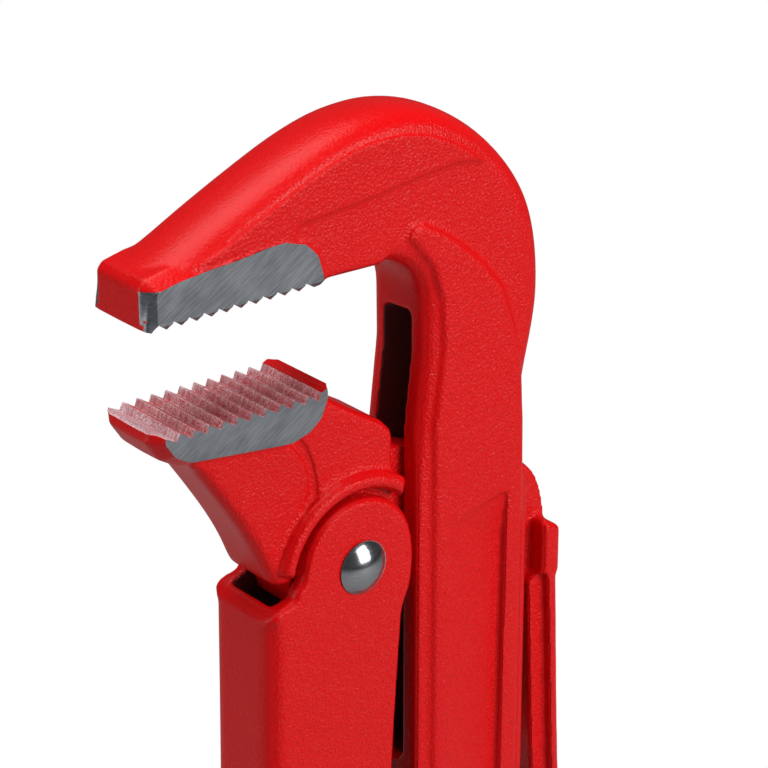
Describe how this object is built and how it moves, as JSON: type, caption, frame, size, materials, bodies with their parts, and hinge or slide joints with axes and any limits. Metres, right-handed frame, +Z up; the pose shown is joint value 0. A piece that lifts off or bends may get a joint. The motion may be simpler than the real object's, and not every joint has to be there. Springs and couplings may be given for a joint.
{
  "type": "pipe wrench",
  "caption": "Upright pipe wrench with toothed jaws square to crossed lever legs, a sliding slotted hook jaw and a captive adjusting nut.",
  "frame": {"origin": "middle of the bounding box on the plane the two leg ends stand on", "axes": "+X from the jaw tips to the back of the tool, +Y across its thickness and along the pivot rivet and a gripped pipe, +Z up the legs towards the jaws"},
  "size_m": [0.109, 0.0292, 0.3209],
  "materials": {
    "hook_jaw_lacquer": "glossy red lacquer over a rough drop forging, with bare steel at the teeth and on the sides of the jaw",
    "lower_jaw_lacquer": "glossy red lacquer over a rough drop forging, with bare steel at the teeth and on the sides of the jaw",
    "front_leg_lacquer": "glossy red lacquer over a rough drop forging",
    "rear_leg_lacquer": "glossy red lacquer over a rough drop forging",
    "nut_steel": "turned and knurled bare steel",
    "rivet_steel": "polished bare steel dome"
  },
  "bodies": {
    "fixed_leg": {"front_leg": "front_leg_lacquer", "pivot_rivet": "rivet_steel"},
    "lever": {"lower_jaw": "lower_jaw_lacquer", "rear_leg": "rear_leg_lacquer"},
    "hook": {"hook_jaw": "hook_jaw_lacquer"},
    "nut": {"adjusting_nut": "nut_steel"}
  },
  "joints": [
    {"name": "lever_pivot", "type": "hinge", "parent": "fixed_leg", "child": "lever", "pos_m": [-0.0109, 0, 0.2385], "axis": [0, 1, 0], "range_deg": [-8, 3]},
    {"name": "hook_slide", "type": "slide", "parent": "fixed_leg", "child": "hook", "axis": [0, 0, 1], "range_m": [-0.0144, 0.023]},
    {"name": "nut_spin", "type": "hinge", "parent": "fixed_leg", "child": "nut", "pos_m": [0.0156, 0, 0.1442], "axis": [0, 0, 1], "range_deg": [-2100, 1700]}
  ],
  "couplings": [
    {"joint": "nut_spin", "follows": "hook_slide", "rad_per_m": -1570.8}
  ]
}
